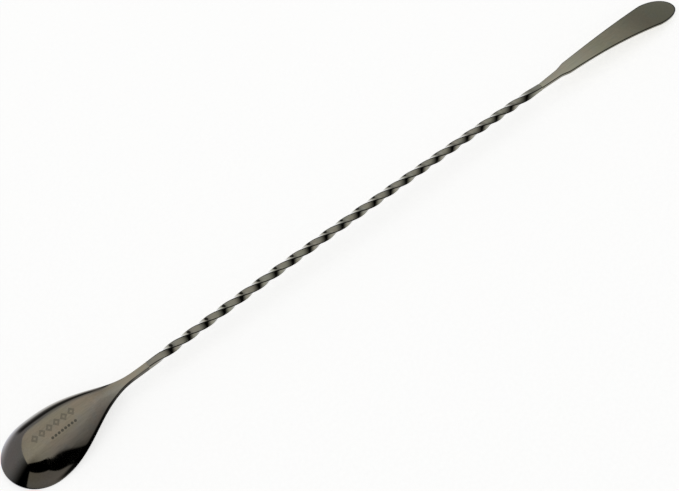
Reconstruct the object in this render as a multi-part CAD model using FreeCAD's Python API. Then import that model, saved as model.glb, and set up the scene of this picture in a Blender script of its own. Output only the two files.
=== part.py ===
import FreeCAD, Part
import math
import os

# Bar spoon, millimetres. +X runs from the bowl to the paddle tail, +Z is up. The spoon lies
# bowl-down: the rim of the bowl and the end of the paddle rest on the plane Z = 0, and the back
# of the bowl is on top. The origin is under the middle of the 300 mm length.

# Whole spoon
HALF_LENGTH = 150.0

# Twisted square bar. Its axis is a long, shallow arch.
BAR_SIDE = 2.5
BAR_CORNER_RADIUS = 0.25
BAR_START_X = -95.5
BAR_END_X = 78.0
ARCH_RADIUS = 1990.0
ARCH_CROWN_X = 5.2
ARCH_CROWN_Z = 8.33
TWIST_QUARTERS = 23
TWIST_RAMP_BOWL = 7.1
TWIST_RAMP_TAIL = 12.1
SECTIONS_PER_QUARTER = 6

# Each end of the bar eases down to about its neck's size, but keeps a wall round its socket
END_TAPER_LENGTH = 7.0
BAR_TAIL_END_HEIGHT = 1.9

# Joints between the bar and the necks: a round tenon brazed into a blind socket
TENON_RADIUS = 0.55
TENON_LENGTH = 4.5
TENON_ROOT = 1.0
SOCKET_RADIUS = 0.65
SOCKET_DEPTH = 4.7
SEAM = 0.3

# The rounded ends of bowl and paddle stop this far round, which leaves a flat under 2 mm wide
TIP_ANGLE = math.radians(86.0)

# Rounding of the long edges of bowl, necks and paddle, and the slight crown of their flats
EDGE_RADIUS = 0.28
FLAT_CROWN = 0.05

# Neck of the bowl
NECK_WIDTH = 2.3
NECK_HEIGHT = 1.8
NECK_BASE_Z = 4.65
NECK_BEND_X = -103.0
NECK_FIRST_SECTION_X = -98.0

# Bowl
BOWL_HALF_WIDTH = 12.43
BOWL_WIDEST_X = -137.0
BOWL_FLARE_X = -101.9
BOWL_FLARE_POWER = 1.14
BOWL_RISE = 7.3
RIM_HEIGHT = 0.97
RIM_DROP_X = -112.0
RIM_LOW_X = -139.2
RIM_LOW_Z = -0.12
RIM_TIP_RISE = 0.88
HEEL_X = -104.0
HEEL_LENGTH = 11.9
RIM_BLEND_LENGTH = 20.0
WALL = 1.1
CAVITY_HEEL_X = -107.0
CAVITY_HEEL_LENGTH = 9.0
CAVITY_HEEL_DROP = 0.4
CAVITY_ARCH_SHARE = 0.75
CAVITY_BELOW_RIM = 1.2

# Paddle tail
TAIL_FIRST_SECTION_X = 80.0
TAIL_HALF_WIDTH = 1.13
TAIL_NECK_TAPER = 0.054
SHOULDER_X = 87.2
SHOULDER_LENGTH = 4.9
SHOULDER_STEP = 0.7
BLADE_TAPER = 0.05
BLADE_FLARE = 0.00064
CAP_X = 137.0
CAP_POWER = 2.1
TAIL_FLAT_Z = 7.45
TAIL_BEND_X = 99.5
TAIL_TIP_Z = 0.55
TAIL_NECK_THICKNESS = 1.5
TAIL_TIP_THICKNESS = 1.1
TAIL_THIN_LENGTH = 30.0

# Number of sections along each long piece and round its tip
BOWL_SECTIONS = 15
BOWL_TIP_SECTIONS = 10
CAVITY_SECTIONS = 11
CAVITY_TIP_SECTIONS = 9
TAIL_SECTIONS = 22
TAIL_TIP_SECTIONS = 10

# The block that cuts the rim flat on the rest plane reaches this far past the bowl
BLOCK_MARGIN = 5.0


def smooth_step(value):
    """0 below 0, 1 above 1, with a smooth S between them."""
    clamped = min(max(value, 0.0), 1.0)
    return clamped * clamped * (3.0 - 2.0 * clamped)


def cosine_fall(value):
    """1 at 0 and 0 at 1, along half a cosine wave."""
    clamped = min(max(value, 0.0), 1.0)
    return (1.0 + math.cos(math.pi * clamped)) / 2.0


# ---------------------------------------------------------------- the bar's arched axis

def axis_slope_angle(x):
    return math.asin((ARCH_CROWN_X - x) / ARCH_RADIUS)


def axis_point(x):
    drop = ARCH_RADIUS * (1.0 - math.cos(axis_slope_angle(x)))
    return FreeCAD.Vector(x, 0.0, ARCH_CROWN_Z - drop)


def axis_direction(x):
    angle = axis_slope_angle(x)
    return FreeCAD.Vector(math.cos(angle), 0.0, math.sin(angle))


def axis_up(x):
    angle = axis_slope_angle(x)
    return FreeCAD.Vector(-math.sin(angle), 0.0, math.cos(angle))


def across_axis(x, side, height):
    """A point in the plane square to the axis at x, off the axis by side (Y) and height."""
    return axis_point(x) + FreeCAD.Vector(0.0, side, 0.0) + axis_up(x) * height


# ---------------------------------------------------------------- shared section

def rounded_corner(before, corner, after):
    """Three points of the arc that leaves before, stays inside corner and ends at after."""
    chord_middle = ((before[0] + after[0]) / 2.0, (before[1] + after[1]) / 2.0)
    reach = math.dist(corner, before)
    half_angle_sine = math.sqrt(1.0 - (math.dist(corner, chord_middle) / reach) ** 2)
    pull = 1.0 / (1.0 + half_angle_sine)
    middle = tuple(corner[axis] + (chord_middle[axis] - corner[axis]) * pull for axis in (0, 1))
    return [before, middle, after]


def mirrored(points):
    """The same points on the other side, in the opposite order."""
    return [(-side, height) for side, height in reversed(points)]


def arched_section(place, half_width, base, edge_height, rise):
    """A flat base, two upright edges and a circular arch over them, with rounded corners.

    place turns (side, height) into a point in space.
    """
    arch_radius = (half_width ** 2 + rise ** 2) / (2.0 * rise)
    arch_centre = base + edge_height + rise - arch_radius
    shoulder_angle = math.asin(half_width / arch_radius) - EDGE_RADIUS / arch_radius
    shoulder = (
        arch_radius * math.sin(shoulder_angle),
        arch_centre + arch_radius * math.cos(shoulder_angle),
    )
    crown = (0.0, base + edge_height + rise)
    base_end = (half_width - EDGE_RADIUS, base)
    edge_start = (half_width, base + EDGE_RADIUS)
    edge_end = (half_width, base + edge_height - EDGE_RADIUS)
    low_corner = rounded_corner(base_end, (half_width, base), edge_start)
    high_corner = rounded_corner(edge_end, (half_width, base + edge_height), shoulder)
    runs = [
        mirrored([base_end]) + [base_end],
        low_corner,
        [edge_start, edge_end],
        high_corner,
        [shoulder, crown] + mirrored([shoulder]),
        mirrored(high_corner),
        mirrored([edge_start, edge_end]),
        mirrored(low_corner),
    ]
    edges = []
    for run in runs:
        points = [place(side, height) for side, height in run]
        curve = Part.LineSegment(*points) if len(points) == 2 else Part.Arc(*points)
        edges.append(curve.toShape())
    return Part.Wire(edges)


def upright_plane(x):
    return lambda side, height: FreeCAD.Vector(x, side, height)


# ---------------------------------------------------------------- twisted bar

def twist_angle(x):
    """Angle turned since the bowl end: a ramp, a steady twist, then a ramp down to rest."""
    ramps = TWIST_RAMP_BOWL + TWIST_RAMP_TAIL
    steady_rate = TWIST_QUARTERS * math.pi / 2.0 / (BAR_END_X - BAR_START_X - ramps / 2.0)
    from_bowl = x - BAR_START_X
    from_tail = BAR_END_X - x
    if from_bowl < TWIST_RAMP_BOWL:
        return steady_rate * from_bowl ** 2 / (2.0 * TWIST_RAMP_BOWL)
    if from_tail < TWIST_RAMP_TAIL:
        return TWIST_QUARTERS * math.pi / 2.0 - steady_rate * from_tail ** 2 / (2.0 * TWIST_RAMP_TAIL)
    return steady_rate * (from_bowl - TWIST_RAMP_BOWL / 2.0)


def bar_size(x):
    """Level width and upright height of the bar at x: full size, easing down at both ends."""
    at_bowl = smooth_step(1.0 - (x - BAR_START_X) / END_TAPER_LENGTH)
    at_tail = smooth_step(1.0 - (BAR_END_X - x) / END_TAPER_LENGTH)
    width = BAR_SIDE
    width += (NECK_WIDTH - BAR_SIDE) * at_bowl
    width += (2.0 * TAIL_HALF_WIDTH - BAR_SIDE) * at_tail
    height = BAR_SIDE
    height += (NECK_HEIGHT - BAR_SIDE) * at_bowl
    height += (BAR_TAIL_END_HEIGHT - BAR_SIDE) * at_tail
    return width, height


def bar_outline(x, angle):
    """The bar's square with round corners at x, turned by angle, then eased to its size there."""
    width, height = bar_size(x)

    def place(side, up):
        turned_side = side * math.cos(angle) - up * math.sin(angle)
        turned_up = side * math.sin(angle) + up * math.cos(angle)
        return across_axis(x, turned_side * width / BAR_SIDE, turned_up * height / BAR_SIDE)

    centre = BAR_SIDE / 2.0 - BAR_CORNER_RADIUS
    corners = []
    for quarter, (sign_side, sign_up) in enumerate(((1, 1), (-1, 1), (-1, -1), (1, -1))):
        corner = []
        for half_step in range(3):
            turn = math.pi / 2.0 * quarter + math.pi / 4.0 * half_step
            corner.append(place(
                sign_side * centre + BAR_CORNER_RADIUS * math.cos(turn),
                sign_up * centre + BAR_CORNER_RADIUS * math.sin(turn),
            ))
        corners.append(corner)
    edges = []
    for corner, next_corner in zip(corners, corners[1:] + corners[:1]):
        edges.append(Part.Arc(*corner).toShape())
        edges.append(Part.LineSegment(corner[2], next_corner[0]).toShape())
    return Part.Wire(edges)


def bar_section(x):
    return bar_outline(x, twist_angle(x))


def socket(x, inward):
    """The blind hole in one end of the bar. inward is +1 at the bowl end, -1 at the tail end."""
    return Part.makeCylinder(SOCKET_RADIUS, SOCKET_DEPTH, axis_point(x), axis_direction(x) * inward)


def make_shaft():
    count = TWIST_QUARTERS * SECTIONS_PER_QUARTER
    step = (BAR_END_X - BAR_START_X) / count
    sections = [bar_section(BAR_START_X + step * index) for index in range(count + 1)]
    bar = Part.makeLoft(sections, True, False)
    return bar.cut(socket(BAR_START_X, 1)).cut(socket(BAR_END_X, -1))


# ---------------------------------------------------------------- joints

def neck_end_section(x, width, height):
    """The end face of a neck, square to the bar's axis at x."""
    return arched_section(
        lambda side, up: across_axis(x, side, up),
        width / 2.0,
        -height / 2.0,
        height - FLAT_CROWN,
        FLAT_CROWN,
    )


def make_tenon(x, inward):
    """The round pin on a neck's end, with a root inside the neck."""
    root = SEAM + TENON_ROOT
    start = axis_point(x) - axis_direction(x) * inward * root
    return Part.makeCylinder(TENON_RADIUS, TENON_LENGTH + root, start, axis_direction(x) * inward)


def make_braze(x, inward, neck_width, neck_height):
    """Filler metal: the film round the tenon and the tapered seam between bar and neck."""
    neck_x = x - inward * SEAM
    seam = Part.makeLoft(
        [
            bar_outline(x, 0.0),
            neck_end_section(neck_x, neck_width, neck_height),
        ],
        True,
        True,
    )
    filler = seam.fuse(socket(x, inward))
    return filler.cut(make_tenon(x, inward))


# ---------------------------------------------------------------- bowl

def tip_length():
    """Semi-axis, along X, of the ellipse that rounds the bowl's tip. Its last degrees are cut off."""
    return (HALF_LENGTH + BOWL_WIDEST_X) / math.sin(TIP_ANGLE)


def bowl_half_width(x, inset):
    """Half of the bowl's width in plan: an ellipse at the tip, a cosine flare at the heel."""
    if x < BOWL_WIDEST_X:
        share = (BOWL_WIDEST_X - x) / (tip_length() - inset)
        return (BOWL_HALF_WIDTH - inset) * math.sqrt(1.0 - share ** 2)
    share = (x - BOWL_WIDEST_X) / (BOWL_FLARE_X - BOWL_WIDEST_X)
    flare = cosine_fall(share ** BOWL_FLARE_POWER)
    return NECK_WIDTH / 2.0 + (BOWL_HALF_WIDTH - NECK_WIDTH / 2.0) * flare - inset


def rim_base(x):
    """Height of the neck's underside and of the bowl's rim above the table."""
    if x > NECK_BEND_X:
        end_z = axis_point(BAR_START_X).z - NECK_HEIGHT / 2.0
        share = (x - NECK_BEND_X) / (BAR_START_X - NECK_BEND_X)
        return NECK_BASE_Z + (end_z - NECK_BASE_Z) * share ** 2
    if x > RIM_LOW_X:
        share = (RIM_DROP_X - x) / (RIM_DROP_X - RIM_LOW_X)
        return RIM_LOW_Z + (NECK_BASE_Z - RIM_LOW_Z) * cosine_fall(share)
    share = (RIM_LOW_X - x) / (RIM_LOW_X + HALF_LENGTH)
    return RIM_LOW_Z + RIM_TIP_RISE * share ** 2


def side_height(x):
    """Height of the upright edge below the arch: the neck's height, easing to the rim's."""
    blend = smooth_step((HEEL_X - x) / RIM_BLEND_LENGTH)
    return NECK_HEIGHT - FLAT_CROWN + (RIM_HEIGHT - NECK_HEIGHT + FLAT_CROWN) * blend


def arch_rise(x):
    """Rise of the bowl's back above its upright edge, at the middle."""
    if x < BOWL_WIDEST_X:
        share = (BOWL_WIDEST_X - x) / tip_length()
        return BOWL_RISE * (1.0 - share ** 2)
    heel = smooth_step((HEEL_X - x) / HEEL_LENGTH)
    return FLAT_CROWN + (BOWL_RISE - FLAT_CROWN) * heel * bowl_half_width(x, 0.0) / BOWL_HALF_WIDTH


def stations(start, end, count, tip, tip_count):
    """Places along a piece: even steps from start to end, then closer together round its tip."""
    places = [start + (end - start) * step / count for step in range(count)]
    for step in range(tip_count + 1):
        share = math.sin(TIP_ANGLE * step / tip_count) / math.sin(TIP_ANGLE)
        places.append(end + (tip - end) * share)
    return places


def make_bowl_body():
    sections = [neck_end_section(BAR_START_X - SEAM, NECK_WIDTH, NECK_HEIGHT)]
    places = stations(
        NECK_FIRST_SECTION_X, BOWL_WIDEST_X, BOWL_SECTIONS, -HALF_LENGTH, BOWL_TIP_SECTIONS)
    for x in places:
        sections.append(arched_section(
            upright_plane(x), bowl_half_width(x, 0.0), rim_base(x), side_height(x), arch_rise(x)))
    return Part.makeLoft(sections, True, False)


def cavity_depth(x):
    """Depth of the hollow above the rim, at the middle, one wall thickness inside the back."""
    if x < BOWL_WIDEST_X:
        share = (BOWL_WIDEST_X - x) / (tip_length() - WALL)
        return (RIM_HEIGHT + BOWL_RISE - WALL) * (1.0 - share ** 2)
    return side_height(x) + arch_rise(x) - WALL


def cavity_section(x):
    """The hollow at x, from below the rim up to its roof.

    At the heel the hollow starts inside the neck's underside and rises out through it.
    """
    ease = smooth_step((CAVITY_HEEL_X - x) / CAVITY_HEEL_LENGTH)
    depth = cavity_depth(x) * ease
    height = CAVITY_BELOW_RIM + depth - CAVITY_HEEL_DROP * (1.0 - ease)
    rise = CAVITY_ARCH_SHARE * depth + FLAT_CROWN
    return arched_section(
        upright_plane(x),
        bowl_half_width(x, WALL),
        rim_base(x) - CAVITY_BELOW_RIM,
        height - rise,
        rise,
    )


def make_cavity():
    tip = BOWL_WIDEST_X - (tip_length() - WALL) * math.sin(TIP_ANGLE)
    places = stations(CAVITY_HEEL_X, BOWL_WIDEST_X, CAVITY_SECTIONS, tip, CAVITY_TIP_SECTIONS)
    return Part.makeLoft([cavity_section(x) for x in places], True, False)


def make_bowl():
    hollow = make_bowl_body().cut(make_cavity())
    block_length = HALF_LENGTH + BLOCK_MARGIN + BOWL_FLARE_X
    block_width = 2.0 * (BOWL_HALF_WIDTH + BLOCK_MARGIN)
    block_corner = FreeCAD.Vector(-HALF_LENGTH - BLOCK_MARGIN, -block_width / 2.0, -BLOCK_MARGIN)
    block = Part.makeBox(block_length, block_width, BLOCK_MARGIN, block_corner)
    return hollow.cut(block).fuse(make_tenon(BAR_START_X, 1))


# ---------------------------------------------------------------- paddle tail

def tail_half_width(x):
    """Half of the tail's width in plan: neck, shoulder, widening blade and rounded end."""
    blade_x = SHOULDER_X + SHOULDER_LENGTH
    neck_run = min(x, blade_x) - BAR_END_X
    blade_run = max(x - blade_x, 0.0)
    width = TAIL_HALF_WIDTH + TAIL_NECK_TAPER * neck_run
    width += SHOULDER_STEP * smooth_step((x - SHOULDER_X) / SHOULDER_LENGTH)
    width += BLADE_TAPER * blade_run + BLADE_FLARE * blade_run ** 2
    cap_length = (HALF_LENGTH - CAP_X) / math.sin(TIP_ANGLE)
    share = max((x - CAP_X) / cap_length, 0.0)
    return width * (1.0 - share ** CAP_POWER) ** (1.0 / CAP_POWER)


def tail_middle(x):
    """Height of the tail's middle surface: level along the neck, then bending down."""
    joint_z = axis_point(BAR_END_X).z
    before = min(max((TAIL_BEND_X - x) / (TAIL_BEND_X - BAR_END_X), 0.0), 1.0)
    after = min(max((x - TAIL_BEND_X) / (HALF_LENGTH - TAIL_BEND_X), 0.0), 1.0)
    return TAIL_FLAT_Z + (joint_z - TAIL_FLAT_Z) * before ** 2 - (TAIL_FLAT_Z - TAIL_TIP_Z) * after ** 2


def tail_thickness(x):
    blend = smooth_step((x - BAR_END_X) / TAIL_THIN_LENGTH)
    return TAIL_NECK_THICKNESS + (TAIL_TIP_THICKNESS - TAIL_NECK_THICKNESS) * blend


def make_tail():
    sections = [neck_end_section(BAR_END_X + SEAM, 2.0 * TAIL_HALF_WIDTH, TAIL_NECK_THICKNESS)]
    for x in stations(TAIL_FIRST_SECTION_X, CAP_X, TAIL_SECTIONS, HALF_LENGTH, TAIL_TIP_SECTIONS):
        thickness = tail_thickness(x)
        sections.append(arched_section(
            upright_plane(x),
            tail_half_width(x),
            tail_middle(x) - thickness / 2.0,
            thickness - FLAT_CROWN,
            FLAT_CROWN,
        ))
    return Part.makeLoft(sections, True, False).fuse(make_tenon(BAR_END_X, -1))


# ---------------------------------------------------------------- write the pieces

def main():
    pieces = {
        "bowl": make_bowl(),
        "shaft": make_shaft(),
        "tail": make_tail(),
        "bowl_braze": make_braze(BAR_START_X, 1, NECK_WIDTH, NECK_HEIGHT),
        "tail_braze": make_braze(BAR_END_X, -1, 2.0 * TAIL_HALF_WIDTH, TAIL_NECK_THICKNESS),
    }
    os.makedirs("parts", exist_ok=True)
    for name, shape in pieces.items():
        print(name, len(shape.Solids), shape.isValid(), round(shape.Volume, 2))
        shape.exportStep("parts/" + name + ".step")


main()
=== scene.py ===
import math

import bmesh
import bpy
import numpy as np
from mathutils import Matrix, Vector


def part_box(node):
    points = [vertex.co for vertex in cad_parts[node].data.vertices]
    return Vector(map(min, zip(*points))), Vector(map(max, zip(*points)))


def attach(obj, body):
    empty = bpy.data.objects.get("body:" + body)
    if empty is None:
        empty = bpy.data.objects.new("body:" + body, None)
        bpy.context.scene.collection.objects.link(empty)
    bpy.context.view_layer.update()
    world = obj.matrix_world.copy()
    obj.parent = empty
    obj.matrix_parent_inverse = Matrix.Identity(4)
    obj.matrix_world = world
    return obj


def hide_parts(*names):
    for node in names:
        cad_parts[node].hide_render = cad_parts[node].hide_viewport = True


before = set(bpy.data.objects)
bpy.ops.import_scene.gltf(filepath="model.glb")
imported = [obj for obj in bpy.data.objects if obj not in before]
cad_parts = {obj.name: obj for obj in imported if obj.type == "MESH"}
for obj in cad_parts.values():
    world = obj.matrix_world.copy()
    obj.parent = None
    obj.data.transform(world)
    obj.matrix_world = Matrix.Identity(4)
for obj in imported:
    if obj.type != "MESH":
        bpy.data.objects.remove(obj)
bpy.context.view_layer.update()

# The bar spoon's looks. Shapes are worked out in millimetres in the CAD frame: +X from the bowl
# to the paddle tail, +Z up, with the back of the bowl on top and the rim on the floor, Z = 0.
MM = 0.001

# Lengths taken from the CAD nodes. The other dimensions from here to the paddle tail repeat the
# CAD's driving dimensions.
bowl_low, bowl_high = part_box("bowl")
tail_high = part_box("tail")[1]
TIP_X = bowl_low.x / MM
BOWL_HALF_WIDTH = bowl_high.y / MM
TAIL_TIP_X = tail_high.x / MM

# Twisted square bar. Its ends ease down towards the necks' size and keep a wall round the sockets.
BAR_SIDE = 2.5
BAR_CORNER_RADIUS = 0.25
BAR_START_X = -95.5
BAR_END_X = 78.0
END_TAPER_LENGTH = 7.0
BAR_TAIL_END_HEIGHT = 1.9
ARCH_RADIUS = 1990.0
ARCH_CROWN_X = 5.2
ARCH_CROWN_Z = 8.33
TWIST_QUARTERS = 23
TWIST_RAMP_BOWL = 7.1
TWIST_RAMP_TAIL = 12.1

# Joints
TENON_RADIUS = 0.55
TENON_LENGTH = 4.5
TENON_ROOT = 1.0
SOCKET_RADIUS = 0.65
SOCKET_DEPTH = 4.7
SEAM = 0.3

# Shared
EDGE_RADIUS = 0.28
FLAT_CROWN = 0.05

# Bowl and its neck
NECK_WIDTH = 2.3
NECK_HEIGHT = 1.8
NECK_BASE_Z = 4.65
NECK_BEND_X = -103.0
BOWL_WIDEST_X = -137.0
BOWL_FLARE_X = -101.9
BOWL_FLARE_POWER = 1.14
BOWL_RISE = 7.3
RIM_HEIGHT = 0.97
RIM_DROP_X = -112.0
RIM_LOW_X = -139.2
RIM_LOW_Z = -0.12
RIM_TIP_RISE = 0.88
HEEL_X = -104.0
HEEL_LENGTH = 11.9
RIM_BLEND_LENGTH = 20.0
WALL = 1.1
CAVITY_HEEL_X = -107.0
CAVITY_HEEL_LENGTH = 9.0
CAVITY_HEEL_DROP = 0.4
CAVITY_ARCH_SHARE = 0.75

# Paddle tail
TAIL_HALF_WIDTH = 1.13
TAIL_NECK_TAPER = 0.054
SHOULDER_X = 87.2
SHOULDER_LENGTH = 4.9
SHOULDER_STEP = 0.7
BLADE_TAPER = 0.05
BLADE_FLARE = 0.00064
CAP_X = 137.0
CAP_POWER = 2.1
TAIL_FLAT_Z = 7.45
TAIL_BEND_X = 99.5
TAIL_TIP_Z = 0.55
TAIL_NECK_THICKNESS = 1.5
TAIL_TIP_THICKNESS = 1.1
TAIL_THIN_LENGTH = 30.0

# Fineness of the meshes. JOIN_DISTANCE is in metres.
SHARP_ANGLE = math.radians(50.0)
JOIN_DISTANCE = 2e-7
SKIN_ANGLE = 1.25
SKIN_STEPS = 32
CORNER_STEPS = 5
REAR_STATIONS = 140
TIP_STATIONS = 60
STATIONS_PER_QUARTER = 24
FLAT_POINTS = 8
CORNER_POINTS = 6
RING_POINTS = 4 * (FLAT_POINTS + CORNER_POINTS)

# Averaging of the bowl's curves. The weights fall to 0 in SOFTENING_STEPS steps each way, over
# SOFTENING_SPAN times the reach. The reach is 0 at the tip and grows to SOFTENING_REACH over a
# length of SOFTENING_GROWTH.
SOFTENING_STEPS = 6
SOFTENING_SPAN = 3.0
SOFTENING_REACH = 1.3
SOFTENING_GROWTH = 12.0

# Round edges of plates and shells, as shares of the edge radius, of the thickness and of the
# distance from spine to outline
TOP_EDGE_SHARE = 0.6
EDGE_SHARE_OF_THICKNESS = 0.45
EDGE_SHARE_OF_REACH = 0.3

# Where points lie across the rim, from its round edge to its inner edge, and the angle at which
# the underside starts, just off 0 so that its first point isn't the rim's last one again
RIM_SHARES = (0.3, 0.7, 1.0)
UNDERSIDE_FIRST_TURN = 0.01

# How far the paddle's inner points lie inside its outline, the least half width of the hollow,
# which keeps the bowl's inner points off the spine, and the length of a neck's tilted end
TAIL_INSET = 0.5
CAVITY_LEAST_HALF_WIDTH = 0.04
SQUARE_END_REACH = 2.0

# How strongly painted shade darkens the round edges in place of their dark reflections, from 0 to 1,
# with the places and the lengths over which that changes along and across the bowl
ARRIS_RISE = (0.25, 0.5, 0.8, 1.0)
BOWL_WALL_ARRIS = 0.55
BOWL_ARRIS_SIDE = 4.0
BOWL_TIP_ARRIS = 0.15
BOWL_TIP_ARRIS_X = -139.0
BOWL_HEEL_ARRIS_LOSS = 0.4
BOWL_HEEL_ARRIS_X = -124.0
BOWL_ARRIS_RUN = 8.0
NECK_ARRIS = 0.18
NECK_ARRIS_X = -112.0
NECK_ARRIS_RUN = 6.0
TAIL_WALL_ARRIS = 0.3
TAIL_ARRIS = 0.7

# Etched ornament on the bowl
LOZENGE_ROW = (-130.0, 0.5)
LOZENGE_SPACING = 2.7
LOZENGE_COUNT = 6
LOZENGE_HALF_LENGTH = 1.3
LOZENGE_HALF_HEIGHT = 1.65
DOT_ROW = (-128.0, -3.0)
DOT_SPACING = 1.2
DOT_COUNT = 8
DOT_RADIUS = 0.46
DOT_EDGE = 0.06
LOZENGE_STRENGTH = 0.55

# Heights over which the ornament fades in. The hollow's roof is higher too, so it has it as well.
ORNAMENT_Z = (2.0, 3.0)

# Depths of the surface detail, metres
RIPPLE_DEPTH = 0.000006
SCRATCH_DEPTH = 0.00000012
ETCH_DEPTH = 0.000004
BRAZE_GRAIN_DEPTH = 0.00001

# Tints and colours, linear
BROWN_FILM = (1.00, 0.93, 0.75, 1.0)
GREEN_FILM = (1.00, 0.99, 0.76, 1.0)
OLIVE_FILM = (1.00, 0.975, 0.66, 1.0)
BOWL_NECK_TINT = (1.22, 1.20, 1.00, 1.0)
TAIL_NECK_TINT = (1.24, 1.21, 0.88, 1.0)
PLAIN_STEEL = (0.190, 0.190, 0.190, 1.0)
WARM_STEEL = (0.200, 0.187, 0.192, 1.0)
GREY_STEEL = (0.184, 0.186, 0.200, 1.0)
STREAK_DARK = (0.88, 0.88, 0.88, 1.0)
STREAK_LIGHT = (1.12, 1.12, 1.12, 1.0)
BARE_STEEL = (0.30, 0.29, 0.27, 1.0)
ETCHED_STEEL = (0.085, 0.082, 0.070, 1.0)
# Painted shade for the round edges, near black, in place of their dark reflections
PAINTED_EDGE_SHADE = (0.008, 0.008, 0.007, 1.0)
BRAZE_DARK = (0.16, 0.13, 0.09, 1.0)
BRAZE_LIGHT = (0.30, 0.26, 0.20, 1.0)

# Where each neck's lighter tint starts along X, and where it is whole
BOWL_NECK_TINT_X = (-116.0, -103.0)
TAIL_NECK_TINT_X = (112.0, 90.0)

# Roughness: the clean steel, what marks add to it, and the other surfaces
STEEL_ROUGHNESS = 0.045
SMUDGE_ROUGHNESS = 0.05
SCRATCH_ROUGHNESS = 0.06
GRAIN_ROUGHNESS = 0.03
ETCH_ROUGHNESS = 0.42
BRAZE_ROUGHNESS = (0.22, 0.42)

# Light, linear, and the studio's sizes, metres
NEUTRAL_LIGHT = (1.0, 1.0, 1.0, 1.0)
WARM_LIGHT = (1.04, 1.0, 0.90, 1.0)
COOL_LIGHT = (0.97, 1.0, 1.12, 1.0)
LONG_NEAR_LIGHT = (1.0, 1.0, 1.01, 1.0)
LONG_FAR_LIGHT = (0.99, 1.0, 1.06, 1.0)
NO_LIGHT = (0.0, 0.0, 0.0, 1.0)
BOWL_DOME_RADIUS = 8.0
LONG_DOME_RADIUS = 9.0
FLOOR_LIGHT = (0.26, 0.26, 0.26, 1.0)
FLOOR_GLOW = 0.78
BACKGROUND = (0.97, 0.97, 0.97, 1.0)
LAMP_POWER = 1.8
LAMP_SIZE = 1.6
LAMP_PLACE = (0.15, 0.25, 1.3)
FLOOR_HALF_SIZE = 5.0
FLOOR_GAP = 0.00002
PAPER_DARK = (0.86, 0.86, 0.855, 1.0)
PAPER_LIGHT = (0.90, 0.90, 0.895, 1.0)

# Unit vectors in the domes: towards a lamp or an opening, or square to the plane of a straight edge
FAR_LAMP = (0.537, 0.420, 0.731)
FAR_OPENING = (0.094, 0.894, 0.438)
SKY_FROM_GAP = (0.855, 0.056, 0.515)
TIP_EDGE = (0.704, -0.081, 0.706)
CARD_EDGE = (0.844, 0.068, 0.532)
CARD_END = (0.406, -0.901, 0.154)
GAP_EDGE = (0.442, 0.737, 0.512)

# Camera
CAMERA_AZIMUTH = -32.171
CAMERA_ELEVATION = 55.668
CAMERA_ROLL = -7.920
CAMERA_AIM = (-21.385, -6.132, 8.14)
CAMERA_DISTANCE = 370.96
CAMERA_LENS = 58.46


# ---------------------------------------------------------------- shape formulas, mm

def clamp(value):
    return np.clip(value, 0.0, 1.0)


def smooth_step(value):
    share = clamp(value)
    return share * share * (3.0 - 2.0 * share)


def cosine_fall(value):
    return (1.0 + np.cos(np.pi * clamp(value))) / 2.0


def softened(curve, x, reach):
    """The weighted average of a curve over a short stretch round x, which rounds its kinks."""
    total = 0.0
    weights = 0.0
    for step in range(1 - SOFTENING_STEPS, SOFTENING_STEPS):
        share = step / SOFTENING_STEPS
        weight = 1.0 + math.cos(math.pi * share)
        total = total + weight * curve(x + SOFTENING_SPAN * reach * share)
        weights += weight
    return total / weights


def softening_reach(x):
    return SOFTENING_REACH * smooth_step((x - TIP_X) / SOFTENING_GROWTH)


def axis_height(x):
    angle = np.arcsin((ARCH_CROWN_X - x) / ARCH_RADIUS)
    return ARCH_CROWN_Z - ARCH_RADIUS * (1.0 - np.cos(angle))


def axis_slope(x):
    return math.asin((ARCH_CROWN_X - x) / ARCH_RADIUS)


def bowl_half_width(x):
    """Half of the bowl's width in plan."""
    def raw(place):
        tip = BOWL_WIDEST_X - TIP_X
        front = BOWL_HALF_WIDTH * np.sqrt(1.0 - clamp((BOWL_WIDEST_X - place) / tip) ** 2)
        share = clamp((place - BOWL_WIDEST_X) / (BOWL_FLARE_X - BOWL_WIDEST_X))
        neck = NECK_WIDTH / 2.0
        rear = neck + (BOWL_HALF_WIDTH - neck) * cosine_fall(share ** BOWL_FLARE_POWER)
        return np.where(place < BOWL_WIDEST_X, front, rear)

    return softened(raw, x, softening_reach(x))


def rim_base(x):
    """Height of the neck's underside and of the bowl's rim above the floor."""
    end_z = axis_height(BAR_START_X) - NECK_HEIGHT / 2.0
    bend = np.maximum(x - NECK_BEND_X, 0.0) / (BAR_START_X - NECK_BEND_X)
    drop = cosine_fall((RIM_DROP_X - x) / (RIM_DROP_X - RIM_LOW_X))
    tip = np.maximum(RIM_LOW_X - x, 0.0) / (RIM_LOW_X - TIP_X)
    neck = (end_z - NECK_BASE_Z) * bend ** 2
    return RIM_LOW_Z + (NECK_BASE_Z - RIM_LOW_Z) * drop + neck + RIM_TIP_RISE * tip ** 2


def side_height(x):
    """Height of the upright edge: the neck's height less its crown, easing to the rim's."""
    blend = smooth_step((HEEL_X - x) / RIM_BLEND_LENGTH)
    return NECK_HEIGHT - FLAT_CROWN + (RIM_HEIGHT - NECK_HEIGHT + FLAT_CROWN) * blend


def arch_rise(x):
    """Rise of the bowl's back above its upright edge, at the middle."""
    def raw(place):
        tip = BOWL_WIDEST_X - TIP_X
        front = BOWL_RISE * (1.0 - clamp((BOWL_WIDEST_X - place) / tip) ** 2)
        heel = smooth_step((HEEL_X - place) / HEEL_LENGTH)
        rear = FLAT_CROWN + (BOWL_RISE - FLAT_CROWN) * heel * bowl_half_width(place) / BOWL_HALF_WIDTH
        return np.where(place < BOWL_WIDEST_X, front, rear)

    return softened(raw, x, softening_reach(x))


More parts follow.
